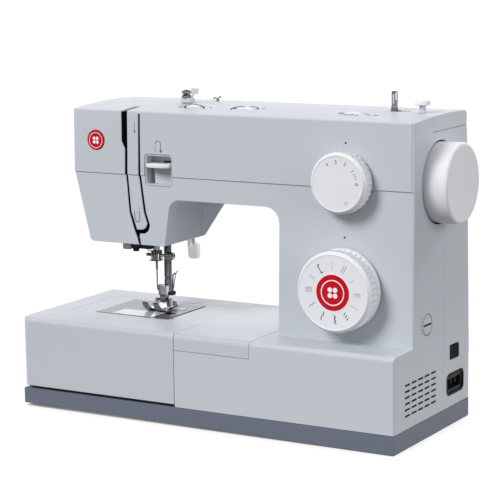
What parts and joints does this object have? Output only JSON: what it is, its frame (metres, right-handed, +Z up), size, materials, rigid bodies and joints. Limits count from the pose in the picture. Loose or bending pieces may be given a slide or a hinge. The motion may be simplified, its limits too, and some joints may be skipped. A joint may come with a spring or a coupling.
{
  "type": "sewing machine",
  "caption": "Free-arm household sewing machine with a handwheel, two front dials, reverse lever, top thumbwheels, removable extension table and drop-in bobbin.",
  "frame": {"origin": "middle of the footprint, on the surface that the feet stand on", "axes": "+X to the handwheel end, along the length; +Y from the operator to the back; +Z up"},
  "size_m": [0.4036, 0.1546, 0.2956],
  "materials": {
    "casing": "fine satin moulded plastic, cool light grey",
    "bed": "satin moulded plastic, light grey",
    "base": "satin moulded plastic, slate grey",
    "knob": "smooth white plastic",
    "badge": "red lacquer with a pale ring",
    "black_plastic": "black moulded plastic",
    "rubber": "matt black rubber",
    "bright_steel": "nickel-plated steel",
    "machined_steel": "turned steel",
    "cast_frame": "die-cast aluminium",
    "motor_case": "black painted steel",
    "clear_plastic": "clear moulded plastic"
  },
  "bodies": {
    "casing": {"base_tray": "base", "foot_front_left": "rubber", "foot_front_right": "rubber", "foot_rear_left": "rubber", "foot_rear_right": "rubber", "front_shell": "casing", "rear_shell": "casing", "upper_cover": "casing", "face_plate": "casing", "bed_cover": "bed", "free_arm_shell": "casing", "main_frame": "cast_frame", "needle_plate": "bright_steel", "plate_screw": "bright_steel", "badge": "badge", "reverse_pocket": "casing", "power_inlet": "black_plastic", "motor": "motor_case", "bobbin_case": "black_plastic", "winder_stop": "knob", "bobbin_thread_guide": "bright_steel", "rear_thread_guide": "bright_steel", "lamp": "clear_plastic", "timing_belt": "rubber", "motor_belt": "rubber"},
    "main_shaft": {"handwheel": "knob", "upper_shaft": "machined_steel"},
    "needle_bar": {"needle_bar": "bright_steel", "needle_clamp": "bright_steel", "clamp_screw": "bright_steel", "needle": "bright_steel"},
    "presser_bar": {"presser_bar": "bright_steel", "foot_ankle": "bright_steel", "ankle_screw": "bright_steel"},
    "motor_pulley": {"motor_pulley": "machined_steel"},
    "lower_shaft": {"lower_shaft": "machined_steel"},
    "rotary_hook": {"rotary_hook": "machined_steel"},
    "bobbin": {"bobbin": "clear_plastic"},
    "take_up_lever": {"take_up_lever": "bright_steel"},
    "presser_foot": {"presser_foot": "bright_steel"},
    "presser_lifter": {"presser_lifter": "knob"},
    "needle_threader": {"needle_threader": "knob"},
    "reverse_lever": {"reverse_lever": "knob"},
    "pattern_dial": {"pattern_dial": "knob"},
    "length_dial": {"length_dial": "knob"},
    "tension_wheel": {"tension_wheel": "knob"},
    "width_wheel": {"width_wheel": "knob"},
    "position_wheel": {"position_wheel": "knob"},
    "winder_carriage": {"winder_carriage": "black_plastic"},
    "winder_spindle": {"winder_spindle": "bright_steel"},
    "balance_adjuster": {"balance_adjuster": "casing"},
    "power_switch": {"power_switch": "black_plastic"},
    "extension_table": {"extension_table": "bed"},
    "bobbin_cover": {"bobbin_cover": "clear_plastic"},
    "cover_catch": {"cover_catch": "black_plastic"},
    "feed_dog": {"feed_dog": "machined_steel"},
    "carry_handle": {"carry_handle": "casing"},
    "spool_pin": {"spool_pin": "knob"}
  },
  "joints": [
    {"name": "handwheel_turn", "type": "hinge", "parent": "casing", "child": "main_shaft", "pos_m": [0.18015, 0.0137, 0.22], "axis": [1, 0, 0], "continuous": true},
    {"name": "motor_turn", "type": "hinge", "parent": "casing", "child": "motor_pulley", "pos_m": [0.16315, -0.0073, 0.052], "axis": [1, 0, 0], "continuous": true},
    {"name": "lower_shaft_turn", "type": "hinge", "parent": "casing", "child": "lower_shaft", "pos_m": [-0.02185, 0.0077, 0.05], "axis": [1, 0, 0], "continuous": true},
    {"name": "hook_turn", "type": "hinge", "parent": "casing", "child": "rotary_hook", "pos_m": [-0.11435, -0.0133, 0.07], "axis": [0, 0, 1], "continuous": true},
    {"name": "bobbin_turn", "type": "hinge", "parent": "casing", "child": "bobbin", "pos_m": [-0.11435, -0.0133, 0.074], "axis": [0, 0, 1], "continuous": true},
    {"name": "needle_bar_slide", "type": "slide", "parent": "casing", "child": "needle_bar", "axis": [0, 0, 1], "range_m": [-0.033, 0]},
    {"name": "take_up_swing", "type": "hinge", "parent": "casing", "child": "take_up_lever", "pos_m": [-0.10795, 0.0147, 0.246], "axis": [1, 0, 0], "range_deg": [0, 55]},
    {"name": "lifter_raise", "type": "hinge", "parent": "casing", "child": "presser_lifter", "pos_m": [-0.09835, 0.0407, 0.172], "axis": [1, 0, 0], "range_deg": [0, 40]},
    {"name": "presser_bar_slide", "type": "slide", "parent": "casing", "child": "presser_bar", "axis": [0, 0, 1], "range_m": [0, 0.0066]},
    {"name": "presser_foot_tilt", "type": "hinge", "parent": "presser_bar", "child": "presser_foot", "pos_m": [-0.10335, 0.0137, 0.0926], "axis": [1, 0, 0], "range_deg": [-8, 0]},
    {"name": "threader_lower", "type": "slide", "parent": "casing", "child": "needle_threader", "axis": [0, 0, -1], "range_m": [0, 0.028], "stiffness_N_per_m": 12, "springref_m": -0.01},
    {"name": "reverse_press", "type": "slide", "parent": "casing", "child": "reverse_lever", "axis": [0, 0, -1], "range_m": [0, 0.006], "stiffness_N_per_m": 150, "springref_m": -0.002},
    {"name": "pattern_dial_turn", "type": "hinge", "parent": "casing", "child": "pattern_dial", "pos_m": [0.11465, -0.0573, 0.1307], "axis": [0, 1, 0], "continuous": true},
    {"name": "length_dial_turn", "type": "hinge", "parent": "casing", "child": "length_dial", "pos_m": [0.11565, -0.0523, 0.223], "axis": [0, 1, 0], "range_deg": [-35, 125]},
    {"name": "tension_turn", "type": "hinge", "parent": "casing", "child": "tension_wheel", "pos_m": [-0.05885, -0.0003, 0.25869], "axis": [0, 1, 0], "range_deg": [-150, 150]},
    {"name": "width_turn", "type": "hinge", "parent": "casing", "child": "width_wheel", "pos_m": [-0.00385, -0.0003, 0.25869], "axis": [0, 1, 0], "range_deg": [-70, 70]},
    {"name": "position_turn", "type": "hinge", "parent": "casing", "child": "position_wheel", "pos_m": [0.10415, -0.0003, 0.25869], "axis": [0, 1, 0], "range_deg": [-70, 70]},
    {"name": "winder_shift", "type": "slide", "parent": "casing", "child": "winder_carriage", "axis": [1, 0, 0], "range_m": [0, 0.0125]},
    {"name": "winder_spin", "type": "hinge", "parent": "winder_carriage", "child": "winder_spindle", "pos_m": [0.13115, 0.0257, 0.278], "axis": [0, 0, 1], "continuous": true},
    {"name": "adjuster_turn", "type": "hinge", "parent": "casing", "child": "balance_adjuster", "pos_m": [0.18015, -0.0117, 0.1], "axis": [1, 0, 0], "range_deg": [-45, 45]},
    {"name": "power_switch_rock", "type": "hinge", "parent": "casing", "child": "power_switch", "pos_m": [0.17935, 0.0442, 0.0658], "axis": [0, 0, 1], "range_deg": [0, 18]},
    {"name": "table_pull", "type": "slide", "parent": "casing", "child": "extension_table", "axis": [-1, 0, 0], "range_m": [0, 0.15]},
    {"name": "bobbin_cover_lift", "type": "hinge", "parent": "casing", "child": "bobbin_cover", "pos_m": [-0.11435, -0.025, 0.0842], "axis": [1, 0, 0], "range_deg": [0, 1.4]},
    {"name": "catch_slide", "type": "slide", "parent": "casing", "child": "cover_catch", "axis": [1, 0, 0], "range_m": [0, 0.003], "stiffness_N_per_m": 60, "springref_m": -0.001},
    {"name": "feed_dog_drop", "type": "slide", "parent": "casing", "child": "feed_dog", "axis": [0, 0, 1], "range_m": [-0.003, 0]},
    {"name": "handle_fold", "type": "hinge", "parent": "casing", "child": "carry_handle", "pos_m": [0.01915, 0.0732, 0.257], "axis": [1, 0, 0], "range_deg": [0, 178]},
    {"name": "spool_pin_raise", "type": "slide", "parent": "casing", "child": "spool_pin", "axis": [0, 0, 1], "range_m": [0, 0.04]}
  ],
  "couplings": [
    {"joint": "motor_turn", "follows": "handwheel_turn", "ratio": 5},
    {"joint": "lower_shaft_turn", "follows": "handwheel_turn", "ratio": 1},
    {"joint": "hook_turn", "follows": "handwheel_turn", "ratio": 2},
    {"joint": "presser_bar_slide", "follows": "lifter_raise", "m_per_rad": 0.009311}
  ]
}
